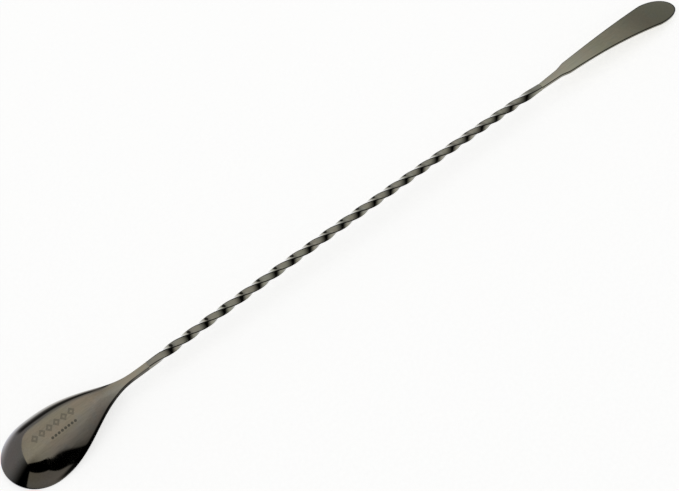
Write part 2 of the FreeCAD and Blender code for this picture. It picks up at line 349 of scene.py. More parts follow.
def arch_height(across, half_width, rise):
    """Height above its ends of a circular arch, at a distance across from its middle."""
    safe_rise = np.maximum(rise, 1e-6)
    radius = (half_width ** 2 + safe_rise ** 2) / (2.0 * safe_rise)
    inside = np.sqrt(np.maximum(radius ** 2 - np.minimum(np.abs(across), half_width) ** 2, 0.0))
    return np.maximum(rise - radius + inside, 0.0)


def bowl_top(x, y):
    return rim_base(x) + side_height(x) + arch_height(y, bowl_half_width(x), arch_rise(x))


def cavity_half_width(x):
    inner_tip = BOWL_WIDEST_X - TIP_X - WALL
    front = (BOWL_HALF_WIDTH - WALL) * np.sqrt(1.0 - clamp((BOWL_WIDEST_X - x) / inner_tip) ** 2)
    rear = np.maximum(bowl_half_width(x) - WALL, CAVITY_LEAST_HALF_WIDTH)
    return np.where(x < BOWL_WIDEST_X, front, rear)


def cavity_roof(x, y):
    """Height of the hollow's roof above the rim. It is below 0 where there is no hollow."""
    inner_tip = BOWL_WIDEST_X - TIP_X - WALL
    front = (RIM_HEIGHT + BOWL_RISE - WALL) * (1.0 - clamp((BOWL_WIDEST_X - x) / inner_tip) ** 2)
    rear = side_height(x) + arch_rise(x) - WALL
    ease = smooth_step((CAVITY_HEEL_X - x) / CAVITY_HEEL_LENGTH)
    depth = np.where(x < BOWL_WIDEST_X, front, rear) * ease
    rise = CAVITY_ARCH_SHARE * depth
    start_below = CAVITY_HEEL_DROP * (1.0 - ease)
    return depth - rise - start_below + arch_height(y, cavity_half_width(x), rise)


def bowl_under(x, y):
    return rim_base(x) + np.maximum(cavity_roof(x, y), 0.0)


def tail_half_width(x):
    """Half of the tail's width in plan: neck, shoulder, widening blade and round end."""
    blade_x = SHOULDER_X + SHOULDER_LENGTH
    blade_run = np.maximum(x - blade_x, 0.0)
    width = TAIL_HALF_WIDTH + TAIL_NECK_TAPER * (np.minimum(x, blade_x) - BAR_END_X)
    width = width + SHOULDER_STEP * smooth_step((x - SHOULDER_X) / SHOULDER_LENGTH)
    width = width + BLADE_TAPER * blade_run + BLADE_FLARE * blade_run ** 2
    share = clamp((x - CAP_X) / (TAIL_TIP_X - CAP_X))
    return width * (1.0 - share ** CAP_POWER) ** (1.0 / CAP_POWER)


def tail_middle(x):
    """Height of the tail's middle surface: a slight rise along the neck, then a bend down."""
    joint_z = axis_height(BAR_END_X)
    before = clamp((TAIL_BEND_X - x) / (TAIL_BEND_X - BAR_END_X))
    after = clamp((x - TAIL_BEND_X) / (TAIL_TIP_X - TAIL_BEND_X))
    return TAIL_FLAT_Z + (joint_z - TAIL_FLAT_Z) * before ** 2 - (TAIL_FLAT_Z - TAIL_TIP_Z) * after ** 2


def tail_thickness(x):
    blend = smooth_step((x - BAR_END_X) / TAIL_THIN_LENGTH)
    return TAIL_NECK_THICKNESS + (TAIL_TIP_THICKNESS - TAIL_NECK_THICKNESS) * blend


def tail_top(x, y):
    crown = FLAT_CROWN * (1.0 - clamp(np.abs(y) / np.maximum(tail_half_width(x), 0.01)) ** 2)
    return tail_middle(x) + tail_thickness(x) / 2.0 - FLAT_CROWN + crown


def tail_under(x, y):
    """Height of the underside, which is the same at every y."""
    return tail_middle(x) - tail_thickness(x) / 2.0


# ---------------------------------------------------------------- mesh helpers

def grid_faces(rows, columns, close_rows, close_columns, start):
    """Quads over a grid of points numbered row by row from start."""
    faces = []
    for row in range(rows if close_rows else rows - 1):
        next_row = (row + 1) % rows
        for column in range(columns if close_columns else columns - 1):
            next_column = (column + 1) % columns
            faces.append((
                start + row * columns + column,
                start + row * columns + next_column,
                start + next_row * columns + next_column,
                start + next_row * columns + column,
            ))
    return faces


def make_piece(name, grids, material, edge_shade=()):
    """One smooth piece from closed grids of points in mm. Points that coincide are joined.

    The last argument gives the first points a share each of painted shade, from 0 on a flat to 1 on a
    round corner.
    """
    points = []
    faces = []
    for grid, close_rows, close_columns in grids:
        rows, columns = grid.shape[:2]
        faces += grid_faces(rows, columns, close_rows, close_columns, len(points))
        points += (grid.reshape(-1, 3) * MM).tolist()
    mesh = bpy.data.meshes.new(name)
    mesh.from_pydata(points, [], faces)
    # The painted edge shade is kept on the mesh as a point attribute for the material
    share = mesh.attributes.new("edge_shade", "FLOAT", "POINT")
    shares = list(edge_shade) + [0.0] * (len(points) - len(edge_shade))
    share.data.foreach_set("value", shares)
    builder = bmesh.new()
    builder.from_mesh(mesh)
    bmesh.ops.remove_doubles(builder, verts=builder.verts, dist=JOIN_DISTANCE)
    bmesh.ops.dissolve_degenerate(builder, edges=builder.edges, dist=JOIN_DISTANCE)
    bmesh.ops.recalc_face_normals(builder, faces=builder.faces)
    for face in builder.faces:
        face.smooth = True
    for edge in builder.edges:
        edge.smooth = len(edge.link_faces) < 2 or edge.calc_face_angle(0.0) < SHARP_ANGLE
    builder.to_mesh(mesh)
    builder.free()
    mesh.materials.append(material)
    piece = bpy.data.objects.new(name, mesh)
    bpy.context.scene.collection.objects.link(piece)
    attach(piece, "root")
    return piece


def round_off(start, corner, end, steps):
    """Points of a parabola that leaves start, stays inside corner and stops at end."""
    points = []
    for step in range(1, steps + 1):
        share = step / steps
        weights = ((1 - share) ** 2, 2 * share * (1 - share), share ** 2)
        points.append(tuple(
            weights[0] * a + weights[1] * b + weights[2] * c for a, b, c in zip(start, corner, end)))
    return points


def round_tip(centre_x, half_width, tip_x, inset, power, steps):
    """Plan points from the +Y side round the tip to the -Y side, and the same points inset."""
    outline = []
    inner = []
    for step in range(-steps, steps + 1):
        turn = math.pi / 2.0 * step / steps
        along = abs(math.cos(turn)) ** (2.0 / power)
        across = -math.copysign(abs(math.sin(turn)) ** (2.0 / power), turn)
        reach = tip_x - centre_x
        inner_reach = reach - math.copysign(inset, reach)
        outline.append((centre_x + reach * along, half_width * across))
        inner.append((centre_x + inner_reach * along, (half_width - inset) * across))
    return outline, inner


def plan_points(rear_x, widths, inner_widths, tip_outline, tip_inner, centre_x):
    """Spine, outline and inner points in plan: along the +Y side, round the tip, back along -Y."""
    plus = list(zip(rear_x, widths))
    plus_inner = list(zip(rear_x, inner_widths))
    minus = [(x, -width) for x, width in reversed(plus)]
    minus_inner = [(x, -width) for x, width in reversed(plus_inner)]
    spine = [(x, 0.0) for x in rear_x]
    spine = spine + [(centre_x, 0.0)] * len(tip_outline) + spine[::-1]
    return spine, plus + tip_outline + minus, plus_inner + tip_inner + minus_inner


def plan_solid(spine, outline, inner, top, rim, under):
    """Grid of points for a plate or shell, one closed profile for each plan point.

    A profile runs over the top from the spine to the outline, round both edges, over the rim to
    the inner point and back underneath to the spine. top, rim and under give heights.
    """
    profiles = []
    for (spine_x, spine_y), (edge_x, edge_y), (inner_x, inner_y) in zip(spine, outline, inner):
        reach = math.hypot(edge_x - spine_x, edge_y - spine_y)
        rim_width = math.hypot(edge_x - inner_x, edge_y - inner_y)

        def plan(inset):
            share = inset / reach
            return edge_x + (spine_x - edge_x) * share, edge_y + (spine_y - edge_y) * share

        def point(inset, surface):
            x, y = plan(inset)
            return x, y, float(surface(x, y))

        edge_top = point(0.0, top)
        edge_under = point(0.0, rim)
        thickness = edge_top[2] - edge_under[2]
        drop = min(EDGE_RADIUS, EDGE_SHARE_OF_THICKNESS * thickness)
        top_inset = min(EDGE_RADIUS * TOP_EDGE_SHARE, EDGE_SHARE_OF_REACH * reach)
        low_inset = min(EDGE_RADIUS, EDGE_SHARE_OF_REACH * reach)
        low = point(low_inset, rim)

        shares = np.sin(np.linspace(0.0, SKIN_ANGLE, SKIN_STEPS + 1)) / math.sin(SKIN_ANGLE)
        xs, ys = plan(top_inset + (reach - top_inset) * (1.0 - shares))
        profile = list(zip(xs, ys, top(xs, ys)))
        edge_high = (edge_x, edge_y, edge_top[2] - drop)
        edge_low = (edge_x, edge_y, edge_under[2] + drop)
        profile += round_off(profile[-1], edge_top, edge_high, CORNER_STEPS)
        profile.append(edge_low)
        profile += round_off(edge_low, edge_under, low, CORNER_STEPS)
        for share in RIM_SHARES:
            profile.append(point(low_inset + (rim_width - low_inset) * share, rim))
        turns = np.linspace(UNDERSIDE_FIRST_TURN, math.pi / 2.0, SKIN_STEPS)
        xs, ys = plan(rim_width + (reach - rim_width) * (1.0 - np.cos(turns)))
        profile += list(zip(xs, ys, under(xs, ys)))
        profiles.append(profile)
    grid = np.array(profiles)
    grid[:, :, 2] = np.maximum(grid[:, :, 2], 0.0)
    return grid


def plan_edge_shade(grid, wall_share):
    """How much painted shade each point of a plan_solid gets on its two round edges and the wall
    between.
    """
    top = [0.0] * (SKIN_STEPS + 1 - len(ARRIS_RISE)) + list(ARRIS_RISE)
    high_edge = [1.0] * (CORNER_STEPS - 1)
    low_edge = [1.0] * CORNER_STEPS
    profile = top + high_edge + [wall_share, wall_share] + low_edge
    profile += [0.0] * (grid.shape[1] - len(profile))
    return np.tile(profile, (grid.shape[0], 1))


def square_up_end(grid, end_x):
    """Tilts the first and last profiles, at a neck's end, square to the bar's axis."""
    near_end = clamp(1.0 - np.abs(grid[:, :, 0] - end_x) / SQUARE_END_REACH)
    lean = (grid[:, :, 2] - axis_height(end_x)) * math.sin(axis_slope(end_x))
    grid[:, :, 0] -= lean * near_end
    return grid


def ring(x, outline):
    """Points of a closed outline of (side, up) pairs set square to the bar's axis at x."""
    angle = axis_slope(x)
    height = float(axis_height(x))
    return [(x - math.sin(angle) * up, side, height + math.cos(angle) * up) for side, up in outline]


def round_outline(radius):
    """A circle with as many points as the bar's section."""
    points = []
    for index in range(RING_POINTS):
        angle = 2.0 * math.pi * (index - CORNER_POINTS / 2.0 + 0.5) / RING_POINTS
        turned = angle + math.pi / 4.0
        points.append((radius * math.cos(turned), radius * math.sin(turned)))
    return points


def square_outline(width, height, radius, turn):
    """A rectangle with round corners, turned about its middle."""
    points = []
    for quarter in range(4):
        start = quarter * math.pi / 2.0
        half_side, half_up = width / 2.0 - radius, height / 2.0 - radius
        centre_side = half_side if quarter in (0, 3) else -half_side
        centre_up = half_up if quarter in (0, 1) else -half_up
        corner = []
        for step in range(CORNER_POINTS):
            angle = start + math.pi / 2.0 * step / (CORNER_POINTS - 1)
            corner.append((
                centre_side + radius * math.cos(angle),
                centre_up + radius * math.sin(angle),
            ))
        next_side = -centre_side if quarter in (0, 2) else centre_side
        next_up = centre_up if quarter in (0, 2) else -centre_up
        next_angle = start + math.pi / 2.0
        next_start = (
            next_side + radius * math.cos(next_angle),
            next_up + radius * math.sin(next_angle),
        )
        points += corner
        for step in range(1, FLAT_POINTS + 1):
            share = step / (FLAT_POINTS + 1)
            points.append((
                corner[-1][0] + (next_start[0] - corner[-1][0]) * share,
                corner[-1][1] + (next_start[1] - corner[-1][1]) * share,
            ))
    cosine, sine = math.cos(turn), math.sin(turn)
    return [(side * cosine - up * sine, side * sine + up * cosine) for side, up in points]


def tube(rings):
    """Grid for a tube through rings. It is closed, because its first and last rings are points."""
    return np.array(rings), False, True


# ---------------------------------------------------------------- the pieces

def twist_angle(x):
    """Angle turned since the bowl end: a ramp, a steady twist, then a ramp down to rest."""
    ramps = TWIST_RAMP_BOWL + TWIST_RAMP_TAIL
    whole = TWIST_QUARTERS * math.pi / 2.0
    steady_rate = whole / (BAR_END_X - BAR_START_X - ramps / 2.0)
    from_bowl = x - BAR_START_X
    from_tail = BAR_END_X - x
    if from_bowl < TWIST_RAMP_BOWL:
        return steady_rate * from_bowl ** 2 / (2.0 * TWIST_RAMP_BOWL)
    if from_tail < TWIST_RAMP_TAIL:
        return whole - steady_rate * from_tail ** 2 / (2.0 * TWIST_RAMP_TAIL)
    return steady_rate * (from_bowl - TWIST_RAMP_BOWL / 2.0)


def tenon_grid(end_x, inward):
    """The pin on a neck's end, from just inside the neck to just short of the socket's floor."""
    root_x = end_x - inward * (SEAM + TENON_ROOT)
    tip_x = end_x + inward * TENON_LENGTH
    pin = round_outline(TENON_RADIUS)
    point = round_outline(0.0)
    return tube([ring(root_x, point), ring(root_x, pin), ring(tip_x, pin), ring(tip_x, point)])


def bowl_edge_shade(shell):
    """Shares of painted shade on the edges: on the bowl only on the -Y side, and faint on the whole
    neck.
    """
    x = shell[:, :, 0]
    on_neck = clamp((x - NECK_ARRIS_X) / NECK_ARRIS_RUN)
    past_tip = clamp((x - BOWL_TIP_ARRIS_X) / BOWL_ARRIS_RUN)
    near_side = clamp(-shell[:, :, 1] / BOWL_ARRIS_SIDE)
    near_side *= BOWL_TIP_ARRIS + (1.0 - BOWL_TIP_ARRIS) * past_tip
    near_side *= 1.0 - BOWL_HEEL_ARRIS_LOSS * clamp((x - BOWL_HEEL_ARRIS_X) / BOWL_ARRIS_RUN)
    edge_shade = plan_edge_shade(shell, BOWL_WALL_ARRIS) * near_side * (1.0 - on_neck)
    edge_shade += plan_edge_shade(shell, 0.0) * NECK_ARRIS * on_neck
    return edge_shade.ravel().tolist()


def build_bowl(material):
    rear_x = np.linspace(BAR_START_X - SEAM, BOWL_WIDEST_X, REAR_STATIONS)[:-1]
    widths = bowl_half_width(rear_x)
    inner_widths = np.maximum(widths - WALL, CAVITY_LEAST_HALF_WIDTH)
    middle_width = float(bowl_half_width(np.array(BOWL_WIDEST_X)))
    tip = round_tip(BOWL_WIDEST_X, middle_width, TIP_X, WALL, 2.0, TIP_STATIONS)
    plan = plan_points(rear_x, widths, inner_widths, *tip, BOWL_WIDEST_X)
    shell = plan_solid(*plan, bowl_top, lambda x, y: rim_base(x), bowl_under)
    shell = square_up_end(shell, BAR_START_X - SEAM)
    grids = [(shell, True, False), tenon_grid(BAR_START_X, 1)]
    return make_piece("bowl_polished", grids, material, bowl_edge_shade(shell))


def build_tail(material):
    rear_x = np.linspace(BAR_END_X + SEAM, CAP_X, REAR_STATIONS)[:-1]
    widths = tail_half_width(rear_x)
    cap_width = float(tail_half_width(np.array(CAP_X)))
    tip = round_tip(CAP_X, cap_width, TAIL_TIP_X, TAIL_INSET, CAP_POWER, TIP_STATIONS)
    plan = plan_points(rear_x, widths, widths - TAIL_INSET, *tip, CAP_X)
    plate = plan_solid(*plan, tail_top, tail_under, tail_under)
    plate = square_up_end(plate, BAR_END_X + SEAM)
    grids = [(plate, True, False), tenon_grid(BAR_END_X, -1)]
    # Painted shade on the tail's round edges and, more faintly, on the wall between them
    edge_shade = (plan_edge_shade(plate, TAIL_WALL_ARRIS) * TAIL_ARRIS).ravel().tolist()
    return make_piece("tail_polished", grids, material, edge_shade)


def bar_outline(x, angle):
    """The bar's square with round corners, turned by angle, then squashed to its size at x."""
    at_bowl = float(smooth_step(1.0 - (x - BAR_START_X) / END_TAPER_LENGTH))
    at_tail = float(smooth_step(1.0 - (BAR_END_X - x) / END_TAPER_LENGTH))
    tail_width = 2.0 * TAIL_HALF_WIDTH
    width = BAR_SIDE + (NECK_WIDTH - BAR_SIDE) * at_bowl + (tail_width - BAR_SIDE) * at_tail
    height = BAR_SIDE + (NECK_HEIGHT - BAR_SIDE) * at_bowl
    height += (BAR_TAIL_END_HEIGHT - BAR_SIDE) * at_tail
    square = square_outline(BAR_SIDE, BAR_SIDE, BAR_CORNER_RADIUS, angle)
    return [(side * width / BAR_SIDE, up * height / BAR_SIDE) for side, up in square]


def build_shaft(material):
    count = TWIST_QUARTERS * STATIONS_PER_QUARTER
    hole = round_outline(SOCKET_RADIUS)
    point = round_outline(0.0)
    rings = [
        ring(BAR_START_X + SOCKET_DEPTH, point),
        ring(BAR_START_X + SOCKET_DEPTH, hole),
        ring(BAR_START_X, hole),
    ]
    for x in np.linspace(BAR_START_X, BAR_END_X, count + 1):
        rings.append(ring(x, bar_outline(x, twist_angle(x))))
    # The twist turns the last section by whole quarters. The socket's rings start as many on.
    quarter = TWIST_QUARTERS % 4 * (FLAT_POINTS + CORNER_POINTS)
    hole = hole[quarter:] + hole[:quarter]
    rings += [
        ring(BAR_END_X, hole),
        ring(BAR_END_X - SOCKET_DEPTH, hole),
        ring(BAR_END_X - SOCKET_DEPTH, point),
    ]
    # Painted shade on the bar's round corners, none on its flats, in place of the dark reflections
    # along them
    corner = [math.sin(math.pi * (step + 0.5) / CORNER_POINTS) for step in range(CORNER_POINTS)]
    edge_shade = 4 * (corner + [0.0] * FLAT_POINTS) * len(rings)
    return make_piece("shaft_twisted", [tube(rings)], material, edge_shade)


def build_braze(name, end_x, inward, neck_width, neck_height, material):
    """Filler: a tapered seam from the bar's end to the neck, and the film round the tenon."""
    neck_x = end_x - inward * SEAM
    film_end_x = end_x + inward * SOCKET_DEPTH
    pin_end_x = end_x + inward * TENON_LENGTH
    pin = round_outline(TENON_RADIUS)
    film = round_outline(SOCKET_RADIUS)
    point = round_outline(0.0)
    rings = [
        ring(pin_end_x, point),
        ring(pin_end_x, pin),
        ring(neck_x, pin),
        ring(neck_x, square_outline(neck_width, neck_height, EDGE_RADIUS, 0.0)),
        ring(end_x, bar_outline(end_x, 0.0)),
        ring(end_x, film),
        ring(film_end_x, film),
        ring(film_end_x, point),
    ]
    return make_piece(name, [tube(rings)], material)


# ---------------------------------------------------------------- node helpers

class Nodes:
    """A short way to write a node tree: each method adds one node and returns its output."""

    def __init__(self, tree):
        self.tree = tree
        tree.nodes.clear()

    def add(self, kind, **settings):
        node = self.tree.nodes.new(kind)
        for key, value in settings.items():
            setattr(node, key, value)
        return node

    def join(self, value, socket):
        if isinstance(value, bpy.types.NodeSocket):
            self.tree.links.new(value, socket)
        elif value is not None:
            socket.default_value = value

    def math(self, operation, first, second=None, third=None, clamped=False):
        node = self.add("ShaderNodeMath", operation=operation, use_clamp=clamped)
        for value, socket in zip((first, second, third), node.inputs):
            self.join(value, socket)
        return node.outputs[0]

    def rise(self, value, low, high):
        """0 below low, 1 above high, smooth between. It falls instead if low is above high."""
        node = self.add("ShaderNodeMapRange", interpolation_type="SMOOTHSTEP")
        for entry, socket in zip((value, low, high, 0.0, 1.0), node.inputs):
            self.join(entry, socket)
        return node.outputs[0]

    def blend(self, share, first, second):
        """The number first where share is 0 and second where it is 1."""
        node = self.add("ShaderNodeMix", data_type="FLOAT")
        sockets = node.inputs[0], node.inputs[2], node.inputs[3]
        for value, socket in zip((share, first, second), sockets):
            self.join(value, socket)
        return node.outputs[0]

    def colour(self, share, first, second, how="MIX"):
        """The colour first where share is 0 and second where it is 1."""
        node = self.add("ShaderNodeMix", data_type="RGBA", blend_type=how)
        sockets = node.inputs[0], node.inputs[6], node.inputs[7]
        for value, socket in zip((share, first, second), sockets):
            self.join(value, socket)
        return node.outputs[2]

    def split(self, vector):
        node = self.add("ShaderNodeSeparateXYZ")
        self.join(vector, node.inputs[0])
        return node.outputs

    def along(self, vector, axis):
        """The length of a vector along an axis, which is a unit vector."""
        node = self.add("ShaderNodeVectorMath", operation="DOT_PRODUCT")
        self.join(vector, node.inputs[0])
        self.join(axis, node.inputs[1])
        return node.outputs["Value"]

    def scaled(self, vector, scale, offset=(0.0, 0.0, 0.0)):
        node = self.add("ShaderNodeMapping")
        self.join(vector, node.inputs["Vector"])
        node.inputs["Location"].default_value = offset
        node.inputs["Scale"].default_value = scale
        return node.outputs[0]

    def noise(self, vector, scale, detail=3.0, roughness=0.5):
        node = self.add("ShaderNodeTexNoise")
        self.join(vector, node.inputs["Vector"])
        node.inputs["Scale"].default_value = scale
        node.inputs["Detail"].default_value = detail
        node.inputs["Roughness"].default_value = roughness
        return node.outputs[0]

    def bump(self, height, depth, normal=None):
        """Normals of a surface that is lifted by height times depth, in metres."""
        node = self.add("ShaderNodeBump")
        self.join(height, node.inputs["Height"])
        node.inputs["Strength"].default_value = 1.0
        node.inputs["Distance"].default_value = depth
        self.join(normal, node.inputs["Normal"])
        return node.outputs[0]


# ---------------------------------------------------------------- materials

def new_material(name):
    """A material with an empty node tree, and the helper that fills it."""
    material = bpy.data.materials.new(name)
    material.use_nodes = True
    return material, Nodes(material.node_tree)


def set_surface(nodes, shader):
    """Makes a shader the material's surface."""
    output = nodes.add("ShaderNodeOutputMaterial")
    nodes.tree.links.new(shader.outputs[0], output.inputs["Surface"])


def set_metal(nodes, colour, roughness, normal):
    """Makes the material a metal."""
    surface = nodes.add("ShaderNodeBsdfPrincipled")
    surface.inputs["Metallic"].default_value = 1.0
    nodes.join(colour, surface.inputs["Base Color"])
    nodes.join(roughness, surface.inputs["Roughness"])
    nodes.join(normal, surface.inputs["Normal"])
    set_surface(nodes, surface)


def object_mm(nodes):
    """Object coordinates in millimetres."""
    coordinates = nodes.add("ShaderNodeTexCoord").outputs["Object"]
    return nodes.scaled(coordinates, (1000.0, 1000.0, 1000.0))


def row_cells(nodes, x, y, middle, spacing, count):
    """Places in the cells of a row along X: from the cell's middle, and a mask of the row."""
    along = nodes.math("SUBTRACT", x, middle[0])
    cell = nodes.math("FRACT", nodes.math("MULTIPLY_ADD", along, 1.0 / spacing, count % 2 / 2.0))
    cell_x = nodes.math("MULTIPLY", nodes.math("SUBTRACT", cell, 0.5), spacing)
    cell_y = nodes.math("SUBTRACT", y, middle[1])
    inside = nodes.math("LESS_THAN", nodes.math("ABSOLUTE", along), count * spacing / 2.0)
    return cell_x, cell_y, inside


def etched_motif(nodes, place):
    """A small generic ornament etched on the bowl: 0 outside, 1 where it is deepest.

    A faint row of hollow lozenges lies beside a row of small dots.
    """
    x, y, z = nodes.split(place)
    cell_x, cell_y, inside = row_cells(nodes, x, y, LOZENGE_ROW, LOZENGE_SPACING, LOZENGE_COUNT)
    size_x = nodes.math("DIVIDE", nodes.math("ABSOLUTE", cell_x), LOZENGE_HALF_LENGTH)
    size_y = nodes.math("DIVIDE", nodes.math("ABSOLUTE", cell_y), LOZENGE_HALF_HEIGHT)
    size = nodes.math("ADD", size_x, size_y)
    frame_line = nodes.math("SUBTRACT", nodes.rise(size, 1.05, 0.95), nodes.rise(size, 0.40, 0.30))
    lozenges = nodes.math("MULTIPLY", nodes.math("MULTIPLY", frame_line, inside), LOZENGE_STRENGTH)

    cell_x, cell_y, inside = row_cells(nodes, x, y, DOT_ROW, DOT_SPACING, DOT_COUNT)
    square_sum = nodes.math("ADD", nodes.math("POWER", cell_x, 2.0), nodes.math("POWER", cell_y, 2.0))
    from_middle = nodes.math("SQRT", square_sum)
    dot = nodes.rise(from_middle, DOT_RADIUS + DOT_EDGE, DOT_RADIUS - DOT_EDGE)
    dots = nodes.math("MULTIPLY", dot, inside)
    high_up = nodes.rise(z, *ORNAMENT_Z)
    return nodes.math("MULTIPLY", nodes.math("MAXIMUM", lozenges, dots), high_up)


def dark_steel(name, film, neck=None, motif=False):
    """Polished dark steel: faint colour and gloss variation, hairline scratches, fine ripple.

    film is the tint of the thin dark coat. neck is another tint with the places along X where it
    starts and where it is whole. Painted shade from a mesh attribute darkens the round edges, in place
    of their dark reflections.
    """
    material, nodes = new_material(name)
    place = object_mm(nodes)
    broad = nodes.noise(place, 0.10, 2.0)
    cloud = nodes.noise(nodes.scaled(place, (1.0, 1.0, 1.0), (31.0, 7.0, 3.0)), 0.35, 4.0)
    grain = nodes.noise(nodes.scaled(place, (1.0, 1.0, 1.0), (5.0, 17.0, 9.0)), 6.0, 3.0)
    hairs = nodes.noise(nodes.scaled(place, (0.10, 5.0, 5.0)), 1.0, 4.0, 0.7)
    cross_hairs = nodes.noise(nodes.scaled(place, (3.2, 0.25, 0.6), (11.0, 2.0, 4.0)), 1.0, 3.0, 0.7)

    warm = nodes.colour(nodes.rise(broad, 0.35, 0.65), PLAIN_STEEL, WARM_STEEL)
    tinted = nodes.colour(nodes.rise(cloud, 0.45, 0.75), warm, GREY_STEEL)
    if neck:
        neck_tint, (start_x, whole_x) = neck
        film = nodes.colour(nodes.rise(nodes.split(place)[0], start_x, whole_x), film, neck_tint)
    tinted = nodes.colour(1.0, tinted, film, "MULTIPLY")
    streaks = nodes.colour(nodes.rise(hairs, 0.30, 0.70), STREAK_DARK, STREAK_LIGHT)
    tinted = nodes.colour(1.0, tinted, streaks, "MULTIPLY")
    wear = nodes.math("MULTIPLY", nodes.rise(grain, 0.62, 0.80), 0.35)
    wear_and_edge_shade = nodes.colour(wear, tinted, BARE_STEEL)
    # Painted shade darkens the round edges, standing in for their dark reflections
    edge_shade = nodes.add("ShaderNodeAttribute", attribute_name="edge_shade").outputs["Fac"]
    wear_and_edge_shade = nodes.colour(nodes.rise(edge_shade, 0.0, 0.6), wear_and_edge_shade, PAINTED_EDGE_SHADE)

    scratch = nodes.math("MAXIMUM", nodes.rise(hairs, 0.66, 0.74), nodes.rise(cross_hairs, 0.70, 0.78))
    smudge = nodes.math("MULTIPLY", nodes.rise(cloud, 0.52, 0.70), SMUDGE_ROUGHNESS)
    gloss = nodes.math("ADD", STEEL_ROUGHNESS, smudge)
    gloss = nodes.math("ADD", gloss, nodes.math("MULTIPLY", scratch, SCRATCH_ROUGHNESS))
    gloss = nodes.math("ADD", gloss, nodes.math("MULTIPLY", grain, GRAIN_ROUGHNESS))
    ripple = nodes.bump(broad, RIPPLE_DEPTH)
    normal = nodes.bump(nodes.math("ADD", grain, scratch), SCRATCH_DEPTH, ripple)

    if motif:
        etched = etched_motif(nodes, place)
        wear_and_edge_shade = nodes.colour(etched, wear_and_edge_shade, ETCHED_STEEL)
        gloss = nodes.blend(etched, gloss, ETCH_ROUGHNESS)
        normal = nodes.bump(nodes.math("SUBTRACT", 1.0, etched), ETCH_DEPTH, normal)

    set_metal(nodes, wear_and_edge_shade, gloss, normal)
    return material


def braze_metal():
    """Filler metal of the joints: a dull, slightly grainy silver-brass."""
    material, nodes = new_material("braze filler")
    grain = nodes.noise(object_mm(nodes), 3.0, 4.0)
    set_metal(
        nodes,
        nodes.colour(grain, BRAZE_DARK, BRAZE_LIGHT),
        nodes.blend(grain, *BRAZE_ROUGHNESS),
        nodes.bump(grain, BRAZE_GRAIN_DEPTH),
    )
    return material


# ---------------------------------------------------------------- studio

def long_room(nodes, direction):
    """Light seen by the bar and the paddle, from 0 for black.

    A soft light fills the sky and dies away at the near horizon. The white table is below. The
    far side is brightest, with one small dark opening.
    """
    x, y, z = nodes.split(direction)
    rightward = nodes.math("MULTIPLY", nodes.math("MAXIMUM", x, 0.0), nodes.rise(z, 0.88, 0.60))
    sky = nodes.math("MULTIPLY", nodes.rise(z, 0.02, 1.08), 1.07)
    sky = nodes.math("MULTIPLY", sky, nodes.math("MULTIPLY_ADD", rightward, -0.5, 1.0))
    lamp = nodes.rise(nodes.along(direction, FAR_LAMP), 0.92, 1.0)
    sky = nodes.math("MULTIPLY_ADD", lamp, 0.34, sky)

    table_edge = nodes.math("MULTIPLY_ADD", x, -0.45, 0.20)
    down = nodes.math("MULTIPLY", z, -1.0)
    table = nodes.math("MULTIPLY", nodes.rise(down, table_edge, 1.0), 1.5)
    table = nodes.math("MULTIPLY", table, nodes.blend(nodes.rise(down, 0.65, 1.0), 1.0, 0.68))

    beyond = nodes.math("MULTIPLY", nodes.math("MAXIMUM", y, 0.0), 1.1)
    leftward = nodes.math("MAXIMUM", nodes.math("MULTIPLY", x, -1.0), 0.0)
    beyond = nodes.math("MULTIPLY_ADD", leftward, 0.8, beyond)
    beyond = nodes.math("MULTIPLY", beyond, nodes.rise(y, 0.0, 0.3))
    lowness = nodes.math("MINIMUM", nodes.math("SUBTRACT", 0.75, z), 0.95)
    glow = nodes.math("MULTIPLY", nodes.math("MAXIMUM", lowness, 0.0), beyond)
    glow = nodes.math("MULTIPLY", glow, nodes.blend(nodes.rise(z, -0.2, -0.8), 1.9, 0.75))
    room = nodes.math("ADD", nodes.math("MAXIMUM", sky, table), glow)
    opening = nodes.rise(nodes.along(direction, FAR_OPENING), 0.950, 0.984)
    return nodes.math("MULTIPLY", room, nodes.blend(opening, 1.0, 0.07))


